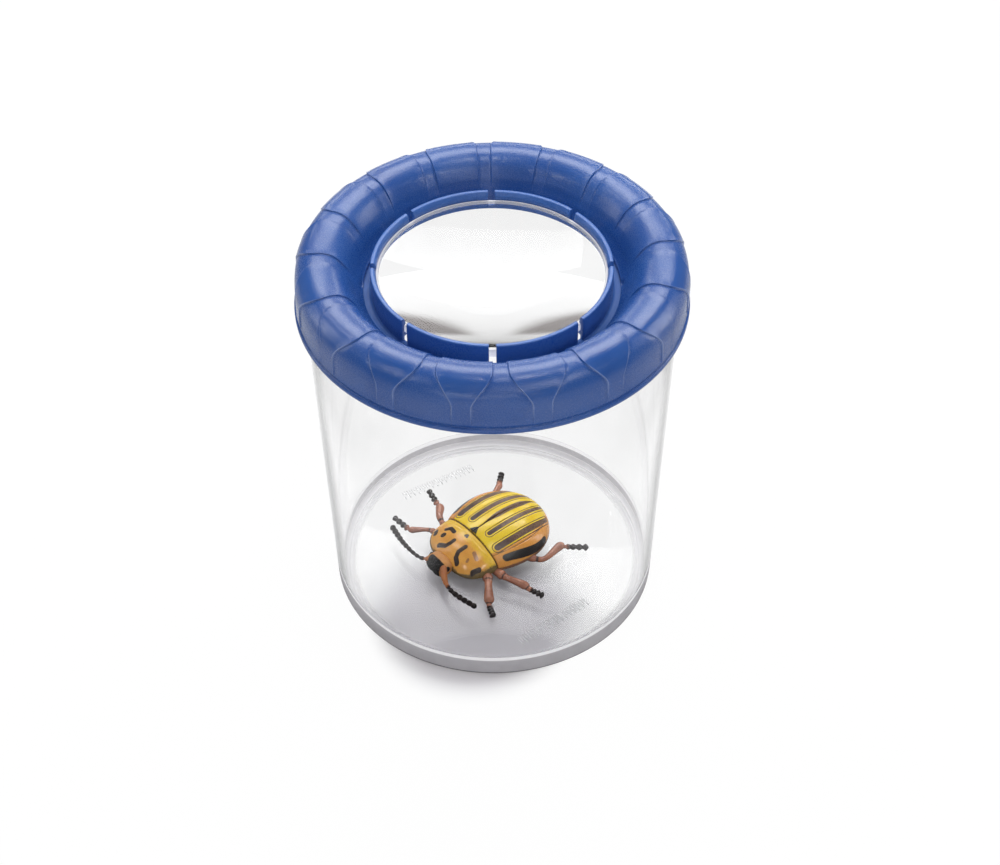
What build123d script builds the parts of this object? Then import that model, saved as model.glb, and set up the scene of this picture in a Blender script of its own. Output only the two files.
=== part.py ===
from build123d import *

import os
from math import degrees, asin, sqrt

os.makedirs("parts", exist_ok=True)

# Jar: a clear moulded cup with a slight taper, standing on a foot ring
base_radius = 58.0
wall_taper = 0.0363  # growth of the outer radius for each millimetre of height
wall = 2.2
jar_height = 136.5
floor_top = 4.0
floor_underside = 1.6
foot_inner_radius = 55.0
foot_slope = 0.6
foot_rounding = 0.8
floor_rounding = 2.0
rim_rounding = 0.8

# Two millimetre scales moulded on the jar's floor as raised ribs
scale_places = [((21.2, -37.1), 38.0), ((-23.8, 31.9), 30.0)]  # middle of the scale, its direction
scale_marks = 31
mark_pitch = 1.0
mark_width = 0.4
mark_height = 0.3
short_mark = 1.8
long_mark = 2.8

# Lid ring: a hollow doughnut with a skirt that slips over the jar's rim
skirt_radius = 65.4
skirt_inner_radius = 63.35
skirt_bottom = 125.5
bead_radius = 65.8
bead_height = 1.5
shoulder_height = 136.0
crest_radius = 57.0
crest_height = 145.2
outer_slope_point = (63.6, 142.0)
inner_slope_points = [(50.4, 142.4), (46.6, 136.2)]
lip_direction = (-0.75, -0.66)
lip_radius = 43.3
lip_top = 131.5
lip_bottom = 129.9
lip_weld_radius = 49.0
stop_height = 136.7
stop_radius = 60.4
ceiling_height = 142.8
ceiling_inner_point = (52.4, 140.0)
ceiling_outer_height = 141.9
ceiling_fall = (1.0, -0.45)

# Sixteen shallow recesses part the petals on the lid ring's outside
recess_count = 16
first_recess = -87.5  # degrees
recess_depth = 0.55
recess_bottom = 127.8
recess_half_width = 9.6  # on the skirt
recess_neck = 2.5  # half width on the crest
recess_shoulder = 138.0
recess_throat = 144.3
recess_inner_radius = 47.5
recess_inner_bottom = 138.0
recess_top = crest_height + 1.0
recess_points = 11

# Lens carrier: a collar of spring fingers on a flange under the lid's inner lip
flange_radius = 48.6
flange_bottom = 127.9
collar_radius = 40.2
collar_inner_radius = 38.8
collar_top = 139.6
seat_radius = 37.6
seat_top = 133.4
seat_bottom = 132.2
hook_radius = 38.1
hook_bottom = 136.7
hook_top = 138.4
finger_count = 8
finger_slot = 2.4
slot_bottom = 130.6

# Lens: a round magnifier, domed on both sides
lens_radius = 38.4
lens_edge = 3.0
dome_radius = 37.4
dome_rise = 3.0

# Toy beetle: its own frame has X forwards, Y to its left and Z up from the jar's underside
beetle_origin = (-2.2, 2.7, 0.0)
beetle_forward = (-0.7865, -0.6176, 0.0)
foot_clearance = 0.3
rim_height = 7.2
belly_bottom = 4.4
belly_middle = -2.0
belly_half_length = 22.0
belly_half_width = 14.0
case_middle = -5.3
case_half_width = 18.3
case_rise = 9.2
case_front_reach = 23.8
case_rear_reach = 19.1
case_stations = [7.5, 1.5, -5.3, -12.0, -17.5, -21.5, -24.1]
shield_rear = 7.7
shield_half_width = 15.2
shield_rise = 7.5
shield_reach = 13.2
shield_width_power = 3.0
shield_rise_power = 1.9
shield_stations = [7.7, 11.5, 15.0, 18.0, 20.0, 20.8]
head_middle = (22.7, 0.0, 8.0)
head_size = (7.2, 10.6, 6.0)
head_rounding = 2.7
feeler_radius = 0.8
feeler_bend = 6.0
feeler_route = [(25.4, 3.4, 8.9), (27.6, 8.5, 9.3), (28.3, 15.0, 9.3), (26.4, 25.4, 9.0)]
leg_radius = 1.1
leg_bend = 1.8
foot_level = floor_top + foot_clearance + leg_radius
leg_routes = {
    "front": [(13.0, 9.0, 5.7), (15.5, 15.5, 5.7), (20.0, 22.6, 7.4), (21.2, 31.0, foot_level)],
    "middle": [(9.2, 9.0, 5.7), (9.4, 17.3, 5.7), (6.8, 23.4, 7.4), (2.0, 34.4, foot_level)],
    "rear": [(-2.5, 9.0, 5.7), (-5.5, 20.4, 5.7), (-17.3, 20.4, 7.2), (-26.3, 25.6, foot_level)],
}
tucked_rear_route = [(-2.5, 9.0, 5.7), (-6.0, 15.2, 5.7), (-17.6, 16.6, 5.9), (-25.4, 23.8, foot_level)]

beetle = Plane(origin=beetle_origin, x_dir=beetle_forward, z_dir=(0, 0, 1))
beetle_left = beetle.y_dir


def lid_top(mode=Mode.ADD):
    """The doughnut's outside in section, from the skirt's shoulder over the crest to the lip."""
    return Spline(
        (skirt_radius, shoulder_height),
        outer_slope_point,
        (crest_radius, crest_height),
        *inner_slope_points,
        (lip_radius, lip_top),
        tangents=[(0, 1), lip_direction],
        mode=mode,
    )


def sunk(curve, share):
    """A point on a curve of the lid's section, moved in by the recess depth."""
    along = curve % share
    return curve @ share + Vector(-along.Y, along.X) * recess_depth


def on_beetle(forward, left, height):
    """A point of the beetle's own frame as a point of the jar's frame."""
    return beetle.from_local_coords((forward, left, height))


def across_beetle(forward):
    """A plane square to the beetle's length, with X to its left and Y up."""
    return Plane(origin=on_beetle(forward, 0, 0), x_dir=beetle_left, z_dir=beetle.x_dir)


def case_share(forward):
    """Half width of the wing cases at a station, as a share of the widest."""
    reach = case_front_reach if forward > case_middle else case_rear_reach
    return sqrt(1 - ((forward - case_middle) / reach) ** 2)


def shield_share(forward, power):
    """Half width or rise of the neck shield at a station, as a share of the greatest."""
    return (1 - ((forward - shield_rear) / shield_reach) ** power) ** (1 / power)


def rod(route, sign, radius, bend):
    """A round rod along a route of the beetle's own frame; a sign of -1 puts it on the right side."""
    with BuildLine():
        points = [on_beetle(forward, sign * left, up) for forward, left, up in route]
        path = FilletPolyline(*points, radius=bend)
    with BuildSketch(Plane(origin=path @ 0, z_dir=path % 0)) as section:
        Circle(radius)
    sweep(section.sketch, path=path)


def save(part, label):
    """Name a finished piece and write its file."""
    part.label = label
    export_step(part, f"parts/{label}.step")


with BuildPart() as jar:
    rim_radius = base_radius + wall_taper * jar_height
    floor_radius = base_radius + wall_taper * floor_top - wall
    with BuildSketch(Plane.XZ):
        with BuildLine():
            Polyline(
                (0, floor_underside),
                (foot_inner_radius - foot_slope, floor_underside),
                (foot_inner_radius, 0),
                (base_radius, 0),
                (rim_radius, jar_height),
                (rim_radius - wall, jar_height),
                (floor_radius, floor_top),
                (0, floor_top),
                close=True,
            )
        section = make_face()
        corners = section.vertices()
        fillet(corners.sort_by_distance((base_radius, 0, 0))[0], foot_rounding)
        corners = section.vertices()
        fillet(corners.sort_by_distance((floor_radius, 0, floor_top))[0], floor_rounding)
        fillet(section.vertices().group_by(Axis.Z)[-1], rim_rounding)
    revolve(axis=Axis.Z)
    for middle, direction in scale_places:
        with BuildSketch(Plane.XY.offset(floor_top)):
            with Locations(Location((*middle, 0), (0, 0, direction))):
                for mark in range(scale_marks):
                    length = long_mark if mark % 2 == 0 else short_mark
                    along = (mark - (scale_marks - 1) / 2) * mark_pitch
                    with Locations((along, 0)):
                        Rectangle(mark_width, length, align=(Align.CENTER, Align.MAX))
        extrude(amount=mark_height)
save(jar.part, "jar")

with BuildPart() as lid_core:
    with BuildSketch(Plane.XZ):
        with BuildLine():
            outside = lid_top(mode=Mode.PRIVATE)
            shares = [step / (recess_points - 1) for step in range(recess_points)]
            recess_floor = Spline(*[sunk(outside, share) for share in shares])
            Polyline(
                recess_floor @ 1,
                (lip_radius, skirt_bottom),
                (skirt_radius - recess_depth, skirt_bottom),
                recess_floor @ 0,
            )
        make_face()
    revolve(axis=Axis.Z)

with BuildPart() as recess:
    with BuildSketch(Plane.YZ.offset(crest_radius)):
        with BuildLine():
            edge = Polyline(
                (0, recess_bottom),
                (recess_half_width, recess_bottom),
                (recess_half_width, recess_shoulder),
            )
            throat = Spline(edge @ 1, (recess_neck, recess_throat), tangents=[(0, 1), (0, 1)])
            Polyline(throat @ 1, (recess_neck, recess_top), (0, recess_top))
            mirror(about=Plane.YZ)
        make_face()
    extrude(amount=bead_radius - crest_radius)
    with BuildSketch(Plane.YZ.offset(recess_inner_radius)):
        strip_height = recess_top - recess_inner_bottom
        with Locations((0, recess_inner_bottom)):
            Rectangle(2 * recess_neck, strip_height, align=(Align.CENTER, Align.MIN))
    extrude(amount=crest_radius - recess_inner_radius)
    add(lid_core.part, mode=Mode.SUBTRACT)

with BuildPart() as lid_ring:
    with BuildSketch(Plane.XZ):
        with BuildLine():
            skirt = Polyline(
                (skirt_inner_radius, skirt_bottom),
                (bead_radius, skirt_bottom),
                (bead_radius, skirt_bottom + bead_height),
                (skirt_radius, skirt_bottom + bead_height),
                (skirt_radius, shoulder_height),
            )
            top = lid_top()
            lip = Polyline(top @ 1, (lip_radius, lip_bottom), (lip_weld_radius, lip_bottom))
            ceiling = Spline(
                lip @ 1,
                ceiling_inner_point,
                (crest_radius, ceiling_height),
                (stop_radius, ceiling_outer_height),
                tangents=[(0, 1), ceiling_fall],
            )
            Polyline(
                ceiling @ 1,
                (stop_radius, stop_height),
                (skirt_inner_radius, stop_height),
                skirt @ 0,
            )
        make_face()
    revolve(axis=Axis.Z)
    with PolarLocations(0, recess_count, start_angle=first_recess):
        add(recess.part, mode=Mode.SUBTRACT)
save(lid_ring.part, "lid_ring")

with BuildPart() as lens_carrier:
    with BuildSketch(Plane.XZ):
        with BuildLine():
            Polyline(
                (collar_inner_radius, flange_bottom),
                (flange_radius, flange_bottom),
                (flange_radius, lip_bottom),
                (collar_radius, lip_bottom),
                (collar_radius, collar_top),
                (collar_inner_radius, collar_top),
                (hook_radius, hook_top),
                (hook_radius, hook_bottom),
                (collar_inner_radius, hook_bottom),
                (collar_inner_radius, seat_top),
                (seat_radius, seat_top),
                (seat_radius, seat_bottom),
                (collar_inner_radius, seat_bottom),
                close=True,
            )
        make_face()
    revolve(axis=Axis.Z)
    slot_height = collar_top - slot_bottom
    with Locations((0, 0, slot_bottom)):
        with PolarLocations(collar_inner_radius, finger_count, start_angle=-90):
            Box(
                4 * (collar_radius - seat_radius),
                finger_slot,
                2 * slot_height,
                align=(Align.CENTER, Align.CENTER, Align.MIN),
                mode=Mode.SUBTRACT,
            )
save(lens_carrier.part, "lens_carrier")

with BuildPart() as lens:
    edge_top = seat_top + lens_edge
    sphere_radius = (dome_radius**2 + dome_rise**2) / (2 * dome_rise)
    dome_angle = degrees(asin(dome_radius / sphere_radius))
    with BuildSketch(Plane.XZ):
        with BuildLine():
            upper = CenterArc(
                (0, edge_top + dome_rise - sphere_radius), sphere_radius, 90 - dome_angle, dome_angle
            )
            lower = CenterArc(
                (0, seat_top - dome_rise + sphere_radius), sphere_radius, -90, dome_angle
            )
            Polyline(lower @ 1, (lens_radius, seat_top), (lens_radius, edge_top), upper @ 0)
            Line(upper @ 1, lower @ 0)
        make_face()
    revolve(axis=Axis.Z)
save(lens.part, "lens")

with BuildPart() as belly:
    with BuildSketch(beetle.offset(belly_bottom)):
        with Locations((belly_middle, 0)):
            Ellipse(belly_half_length, belly_half_width)
    extrude(amount=rim_height - belly_bottom)
save(belly.part, "beetle_belly")

with BuildPart() as left_wing_case:
    for station in case_stations:
        half_width = case_half_width * case_share(station)
        rise = case_rise * case_share(station)
        with BuildSketch(across_beetle(station)):
            with BuildLine():
                back = EllipticalCenterArc((0, rim_height), half_width, rise, arc_size=90)
                Polyline(back @ 1, (0, rim_height), back @ 0)
            make_face()
    loft()
save(left_wing_case.part, "beetle_left_wing_case")

middle_plane = Plane(origin=beetle_origin, x_dir=beetle_forward, z_dir=beetle_left)
with BuildPart() as right_wing_case:
    mirror(left_wing_case.part, about=middle_plane)
save(right_wing_case.part, "beetle_right_wing_case")

with BuildPart() as neck_shield:
    for station in shield_stations:
        half_width = shield_half_width * shield_share(station, shield_width_power)
        rise = shield_rise * shield_share(station, shield_rise_power)
        with BuildSketch(across_beetle(station)):
            with BuildLine():
                back = EllipticalCenterArc((0, rim_height), half_width, rise, arc_size=180)
                Line(back @ 1, back @ 0)
            make_face()
    loft()
save(neck_shield.part, "beetle_neck_shield")

with BuildPart() as head:
    with Locations(beetle):
        with Locations(head_middle):
            Box(*head_size)
    fillet(head.edges(), head_rounding)
    add(neck_shield.part, mode=Mode.SUBTRACT)
    add(belly.part, mode=Mode.SUBTRACT)
save(head.part, "beetle_head")

for side, sign in (("left", 1), ("right", -1)):
    with BuildPart() as feeler:
        rod(feeler_route, sign, feeler_radius, feeler_bend)
        add(head.part, mode=Mode.SUBTRACT)
    save(feeler.part, f"beetle_{side}_feeler")

    for place, leg_route in leg_routes.items():
        tucked = side == "right" and place == "rear"
        with BuildPart() as leg:
            rod(tucked_rear_route if tucked else leg_route, sign, leg_radius, leg_bend)
            add(belly.part, mode=Mode.SUBTRACT)
        save(leg.part, f"beetle_{side}_{place}_leg")
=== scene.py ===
import bpy
import numpy as np
from mathutils import Euler, Matrix, Vector


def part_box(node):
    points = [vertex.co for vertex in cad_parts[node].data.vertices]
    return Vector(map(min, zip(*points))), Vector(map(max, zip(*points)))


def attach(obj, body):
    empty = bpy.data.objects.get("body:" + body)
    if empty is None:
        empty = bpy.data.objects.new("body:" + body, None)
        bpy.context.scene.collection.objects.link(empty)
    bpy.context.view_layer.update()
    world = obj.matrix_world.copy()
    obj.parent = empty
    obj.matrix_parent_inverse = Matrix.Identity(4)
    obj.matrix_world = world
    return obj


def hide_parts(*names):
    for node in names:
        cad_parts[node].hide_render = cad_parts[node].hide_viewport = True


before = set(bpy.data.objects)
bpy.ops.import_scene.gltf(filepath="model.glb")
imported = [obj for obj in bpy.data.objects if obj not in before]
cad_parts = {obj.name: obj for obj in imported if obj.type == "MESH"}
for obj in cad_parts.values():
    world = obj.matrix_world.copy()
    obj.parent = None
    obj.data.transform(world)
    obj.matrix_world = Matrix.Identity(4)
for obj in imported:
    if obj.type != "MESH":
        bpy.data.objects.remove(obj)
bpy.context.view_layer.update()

# Jar
# A clear cup moulded in one shot from a hard, glass-like plastic. It tapers so that it leaves its mould,
# stands on a foot ring round a raised underside, and ends in a rounded rim that the lid slips over.
mm = 0.001
_, jar_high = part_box("jar")
rim_radius = jar_high.x / mm
jar_height = jar_high.z / mm
base_radius = 58.0
jar_wall = 2.2
floor_top = 4.0
floor_underside = 1.6
foot_inner_radius = 55.0
foot_slope = 0.6
sole_top = 0.8
band_edges = (7.0, 7.3)
band_frost = 0.8
glint_line_edges = (8.8, 9.1)
glint_frost = 0.85
jar_columns = 256
ripple_depth = 0.003
ripple_waves = np.array([5.0, 11.0, 23.0])


def rounded(corners, steps=7):
    """A profile through corners given as (across, up, rounding): each corner is cut back by its rounding
    along both of its runs, and the two cuts are joined by the parabola that touches both runs."""
    corners = np.array(corners, float)
    share = np.linspace(0, 1, steps)[:, None]
    points = [corners[:1, :2]]
    for before, (across, up, rounding), after in zip(corners[:-2, :2], corners[1:-1], corners[2:, :2]):
        corner = np.array([across, up])
        back = (before - corner) / np.hypot(*(before - corner))
        on = (after - corner) / np.hypot(*(after - corner))
        points.append(corner + rounding * (back * (1 - share) ** 2 + on * share**2))
    return np.concatenate(points + [corners[-1:, :2]])


def divided(profile, step):
    """The same profile with each run cut into equal parts no longer than the step."""
    runs = np.diff(profile, axis=0)
    counts = np.maximum(np.ceil(np.hypot(*runs.T) / step).astype(int), 1)
    run = np.repeat(np.arange(len(runs)), counts)
    within = np.arange(len(run)) - np.repeat(np.cumsum(counts) - counts, counts)
    return np.concatenate([profile[run] + runs[run] * (within / counts[run])[:, None], profile[-1:]])


def around(grid):
    """The grid with its first column again at the end, so that it closes round."""
    return np.concatenate([grid, grid[:, :1]], axis=1)


def turned(profile, columns):
    """A profile of (radius, height) turned about the jar's axis: each point goes round a circle of its
    radius."""
    angle = np.arange(columns) / columns * 2 * np.pi
    radius, height = profile[:, :1], profile[:, 1:]
    flat = np.stack([radius * np.cos(angle), radius * np.sin(angle), height + 0 * angle], axis=-1)
    return around(flat)


def mesh_piece(name, body, slot, nodes, grids, **paint):
    """One object made of closed grids of points in millimetres. Neighbours in a grid are joined by quads,
    points that coincide are welded so that seams and poles close, and a grid whose volume comes out
    negative is turned round so that its faces point outwards. Each paint is one value per point, kept as
    an attribute."""
    points, faces, start = [], [], 0
    for grid in grids:
        flat = grid.reshape(-1, 3) * mm
        place = np.arange(len(flat)).reshape(grid.shape[:2])
        quads = np.stack([place[:-1, :-1], place[:-1, 1:], place[1:, 1:], place[1:, :-1]], -1).reshape(-1, 4)
        a, b, c, d = (flat[quads[:, corner]] for corner in range(4))
        volume = np.sum(np.cross(a, b) * c) + np.sum(np.cross(a, c) * d)
        faces.append((quads if volume > 0 else quads[:, ::-1]) + start)
        points.append(flat)
        start += len(flat)
    points, faces = np.concatenate(points), np.concatenate(faces)
    same = np.round(points, 8) + 0.0
    _, first, welded = np.unique(same, axis=0, return_index=True, return_inverse=True)
    faces = welded.reshape(-1)[faces]
    double = faces == np.roll(faces, -1, axis=1)
    whole = faces[double.sum(1) == 0]
    split = faces[double.sum(1) == 1]
    keep = ~double[double.sum(1) == 1]
    triangles = split[keep].reshape(-1, 3)
    mesh = bpy.data.meshes.new(name)
    mesh.from_pydata(points[first].tolist(), [], whole.tolist() + triangles.tolist())
    mesh.shade_smooth()
    for label, values in paint.items():
        flat = np.concatenate([np.ravel(value) for value in values]).astype(np.float32)
        mesh.attributes.new(label, "FLOAT", "POINT").data.foreach_set("value", flat[first])
    piece = bpy.data.objects.new(name, mesh)
    bpy.context.scene.collection.objects.link(piece)
    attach(piece, body)
    if nodes:
        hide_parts(*nodes)
    return piece


def colour(red, green, blue):
    """A screen colour of 0 to 255 as the linear colour that a shader takes."""
    part = np.array([red, green, blue]) / 255
    linear = np.where(part <= 0.04045, part / 12.92, ((part + 0.055) / 1.055) ** 2.4)
    return (*linear.tolist(), 1.0)


def grey(level):
    """A linear grey of 0 to 1 as a shader's colour."""
    return (level, level, level, 1.0)


class Finish:
    """A material under construction: its tree, its surface shader, and short ways to add nodes and links."""

    def __init__(self, name, **sockets):
        self.material = bpy.data.materials.new(name)
        self.material.use_nodes = True
        self.tree = self.material.node_tree
        self.tree.nodes.clear()
        self.shader = self.add("ShaderNodeBsdfPrincipled")
        self.output = self.add("ShaderNodeOutputMaterial")
        self.link(self.shader.outputs["BSDF"], self.output.inputs["Surface"])
        for socket, value in sockets.items():
            self.shader.inputs[socket.replace("_", " ")].default_value = value
        self.place = self.add("ShaderNodeTexCoord").outputs["Object"]

    def add(self, kind, values=None, **settings):
        """A node with its settings, and its inputs linked where a value is a socket and set where it is
        plain."""
        made = self.tree.nodes.new(kind)
        for setting, value in settings.items():
            setattr(made, setting, value)
        for socket, value in (values or {}).items():
            self.feed(made.inputs[socket], value)
        return made

    def link(self, source, target):
        self.tree.links.new(source, target)

    def feed(self, socket, value):
        """Links an input where the value is a socket, and sets it where the value is plain."""
        if isinstance(value, bpy.types.NodeSocket):
            self.link(value, socket)
        else:
            socket.default_value = value

    def paint(self, label):
        """The value of an attribute painted on the mesh."""
        return self.add("ShaderNodeAttribute", attribute_name=label).outputs["Fac"]

    def ramp(self, value, low, high, to_low=0.0, to_high=1.0, blend="LINEAR"):
        """A number that goes over from one value to another as the first goes from low to high."""
        sockets = {"Value": value, "From Min": low, "From Max": high, "To Min": to_low, "To Max": to_high}
        return self.add("ShaderNodeMapRange", sockets, interpolation_type=blend).outputs["Result"]

    def noise(self, scale, detail=3.0, low=0.0, high=1.0):
        """Cloudy noise of so many waves to the metre, spread from a low to a high value."""
        cloud = self.add("ShaderNodeTexNoise", {"Vector": self.place, "Scale": scale, "Detail": detail,
                                                "Roughness": 0.55})
        return self.ramp(cloud.outputs["Fac"], 0.28, 0.72, low, high)

    def mix(self, share, first, second):
        """A colour that goes from the first to the second as the share goes from 0 to 1."""
        node = self.add("ShaderNodeMix", data_type="RGBA")
        sockets = node.inputs["Factor"], node.inputs[6], node.inputs[7]
        for socket, value in zip(sockets, (share, first, second)):
            self.feed(socket, value)
        return node.outputs[2]

    def sum(self, operation, *terms):
        """One number worked out from others."""
        return self.add("ShaderNodeMath", dict(enumerate(terms)), operation=operation).outputs[0]

    def bump(self, height, distance):
        """Fine relief: a height of 0 to 1 stands for so many metres."""
        relief = self.add("ShaderNodeBump", {"Height": height, "Distance": distance, "Strength": 1.0})
        self.link(relief.outputs["Normal"], self.shader.inputs["Normal"])


def clear_plastic(name, index, clear, edge_on_shade, smoothest, roughest, absorbed, mirror):
    """Clear plastic: it bends light by its index, carries painted shade where it is seen edge on, has faint
    handling haze and a frosted foot painted grey as shade with a painted dark contact line along its bottom
    edge, turns to pale frost where marked as a corner, which is a painted highlight on the jar and the ground
    edge on the lens, takes a little light on its way through, and lets lamps and soft light reach what is
    inside."""
    finish = Finish(name, IOR=index, Specular_Tint=grey(mirror))
    # Painted shade: the outer face turns grey where it is seen edge on.
    slant = finish.add("ShaderNodeLayerWeight", {"Blend": 0.5}).outputs["Facing"]
    grazing = finish.ramp(slant, 0.74, 0.87, blend="SMOOTHSTEP")
    hazy = finish.mix(finish.noise(70.0, 4.0), grey(clear), grey(0.98 * clear))
    shade = finish.mix(finish.sum("MULTIPLY", grazing, finish.paint("outside")), hazy, grey(edge_on_shade))
    frost = finish.paint("frost")
    # Painted shade: the frosted foot is grey, with faint cloudy blotches.
    frost_shade_and_glint = finish.mix(finish.noise(160.0), colour(172, 169, 173), colour(160, 158, 162))
    # Painted contact shadow: a dark line along the foot's bottom edge.
    frost_shade_and_glint = finish.mix(finish.paint("sole"), frost_shade_and_glint, colour(40, 40, 42))
    # Painted highlight on the jar: pale frost where marked as a corner; on the lens this marks its plain
    # ground edge.
    frost_shade_and_glint = finish.mix(finish.paint("corner"), frost_shade_and_glint, colour(250, 249, 250))
    finish.link(finish.mix(frost, shade, frost_shade_and_glint), finish.shader.inputs["Base Color"])
    haze = finish.noise(70.0, 4.0, smoothest, roughest)
    finish.link(finish.sum("MULTIPLY_ADD", frost, 0.3, haze), finish.shader.inputs["Roughness"])
    finish.link(finish.sum("SUBTRACT", 1.0, frost), finish.shader.inputs["Transmission Weight"])
    rays = finish.add("ShaderNodeLightPath").outputs
    lamps = finish.sum("MAXIMUM", rays["Is Shadow Ray"], rays["Is Diffuse Ray"])
    lamps = finish.sum("MULTIPLY", lamps, finish.sum("SUBTRACT", 1.0, frost))
    through = finish.add("ShaderNodeBsdfTransparent", {"Color": (0.93, 0.93, 0.935, 1.0)})
    milky = finish.add("ShaderNodeBsdfTranslucent", {"Color": frost_shade_and_glint})
    cloudy = finish.sum("MULTIPLY", frost, 0.45)
    blend = finish.add("ShaderNodeMixShader", {0: cloudy, 1: finish.shader.outputs[0], 2: milky.outputs[0]})
    blend = finish.add("ShaderNodeMixShader", {0: lamps, 1: blend.outputs[0], 2: through.outputs[0]})
    finish.link(blend.outputs[0], finish.output.inputs["Surface"])
    inside = finish.add("ShaderNodeVolumeAbsorption", {"Color": (0.5, 0.52, 0.54, 1.0), "Density": absorbed})
    finish.link(inside.outputs[0], finish.output.inputs["Volume"])
    return finish.material


def smooth(value, low, high):
    """0 below low, 1 above high, and an S between them."""
    share = np.clip((value - low) / (high - low), 0, 1)
    return share * share * (3 - 2 * share)


floor_radius = base_radius + (rim_radius - base_radius) * floor_top / jar_height - jar_wall
wall_taper = (rim_radius - base_radius) / jar_height
jar_profile = divided(rounded([
    (0.0, floor_underside, 0.0),
    (foot_inner_radius - foot_slope, floor_underside, 0.3),
    (foot_inner_radius, 0.0, 0.3),
    (base_radius, 0.0, 0.5),
    *[(base_radius + wall_taper * level, level, 0.01) for level in (sole_top, *band_edges, *glint_line_edges)],
    (rim_radius, jar_height, 0.9),
    (rim_radius - jar_wall, jar_height, 0.9),
    (floor_radius, floor_top, 2.0),
    (0.0, floor_top, 0.0),
], steps=9), 3.0)
jar_grid = turned(jar_profile, jar_columns)
turn = np.arctan2(jar_grid[..., 1], jar_grid[..., 0])
climb = np.clip((jar_grid[..., 2] - 12) / 30, 0, 1) * np.clip((jar_height - 4 - jar_grid[..., 2]) / 20, 0, 1)
swell = ripple_depth * climb * sum(np.sin(wave * turn + wave) / np.sqrt(wave) for wave in ripple_waves)
jar_grid[..., :2] *= (1 + swell / rim_radius)[..., None]
out = np.hypot(jar_grid[..., 0], jar_grid[..., 1])
up = jar_grid[..., 2]
outside = (out > base_radius - 0.7 + wall_taper * up) * 1.0
# The frosted foot, which the material paints grey as shade.
foot = outside * (1 - smooth(up, *band_edges))
# Painted highlights: pale frost on the inner corner's fillet, on the foot ring's inner edge underneath, and
# in a line round the outside just above the foot.
fillet = (up > 3.9) * (1 - smooth(up, 5.5, 6.1))
corner = (1 - outside) * smooth(out, floor_radius - 2.1, floor_radius - 1.6) * fillet
corner = np.maximum(corner, (out > foot_inner_radius - 1.2) & (out < foot_inner_radius + 0.4) & (up < 1.7))
corner = np.maximum(corner, outside * smooth(up, *band_edges) * (1 - smooth(up, *glint_line_edges)))
# How far the outer wall takes the painted edge-on shade: all the way up to just under the rim.
edge_shade_reach = outside * (1 - smooth(up, jar_height - 8, jar_height - 2))
# The sole coat is a painted contact shadow along the foot's bottom edge.
jar = mesh_piece("jar_cup", "jar", "clear_jar", ["jar"], [jar_grid], outside=[edge_shade_reach], corner=[corner],
                 frost=[np.maximum(band_frost * foot, glint_frost * corner)],
                 sole=[foot * (up < sole_top - 0.1)])
jar.data.materials.append(clear_plastic("clear_cup_plastic", 1.56, 0.985, 0.08, 0.0, 0.0, 14.0, 0.03))

# Millimetre scales
# Two rows of thirty-one raised ribs, cut into the mould so that the jar's floor carries a ruler on each side
# of the catch. Every second rib is longer.
scale_places = [((19.4, -34.6), 38.0), ((-22.6, 36.4), 30.0)]
scale_marks = 31
mark_pitch = 1.0
mark_half_width = 0.2
mark_height = 0.3
mark_lengths = (4.2, 2.6)
mark_gap = 0.02
mark_frost = 0.12


def rib(middle, direction, along, length):
    """A small bar on the jar's floor: an upright rounded box whose plan is a rectangle with corners eased
    by a fourth-power circle, and whose section closes to a point below and above."""
    angle = np.arange(12) / 12 * 2 * np.pi + np.pi / 12
    ease = (np.cos(angle) ** 4 + np.sin(angle) ** 4) ** -0.25
    level = np.array([[0.0, 0.0], [0.97, 0.0], [1.0, 0.5], [0.8, 1.0], [0.0, 1.0]])
    across = along + mark_half_width * level[:, :1] * ease * np.cos(angle)
    back = length / 2 * (level[:, :1] * ease * np.sin(angle) - 1)
    up = floor_top + mark_gap + mark_height * level[:, 1:] + 0 * angle
    spin = np.radians(direction)
    x = middle[0] + across * np.cos(spin) - back * np.sin(spin)
    y = middle[1] + across * np.sin(spin) + back * np.cos(spin)
    return around(np.stack([x, y, up], axis=-1))


ribs = [
    rib(middle, direction, (mark - (scale_marks - 1) / 2) * mark_pitch, mark_lengths[mark % 2])
    for middle, direction in scale_places
    for mark in range(scale_marks)
]
scales = mesh_piece("jar_floor_scales", "jar", "clear_jar", [], ribs,
                    frost=[np.full(bar.shape[:2], mark_frost) for bar in ribs])
scales.data.materials.append(clear_plastic("frosted_scale_ribs", 1.45, 0.94, 0.8, 0.25, 0.4, 30.0, 1.0))

# Beetle's belly
# The toy beetle is cast in a soft, rubbery plastic and painted by hand. Its underside is one flat oval plate
# with cross creases, to which the legs and the wing cases are glued.
beetle_origin = np.array([-2.2, 2.7, 0.0])
beetle_forward = np.array([-0.7865, -0.6176, 0.0])
beetle_left = np.array([0.6176, -0.7865, 0.0])
rim_height = 7.2
belly_bottom = 4.4
belly_middle = -2.0
belly_half_length = 22.0
belly_half_width = 14.0
belly_creases = 7


def on_beetle(forward, left, up):
    """Points of the beetle's own frame, forwards, to its left and up, as points of the jar's frame."""
    forward, left, up = np.broadcast_arrays(forward, left, up)
    level = beetle_origin + forward[..., None] * beetle_forward + left[..., None] * beetle_left
    return level + up[..., None] * np.array([0.0, 0.0, 1.0])


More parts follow.
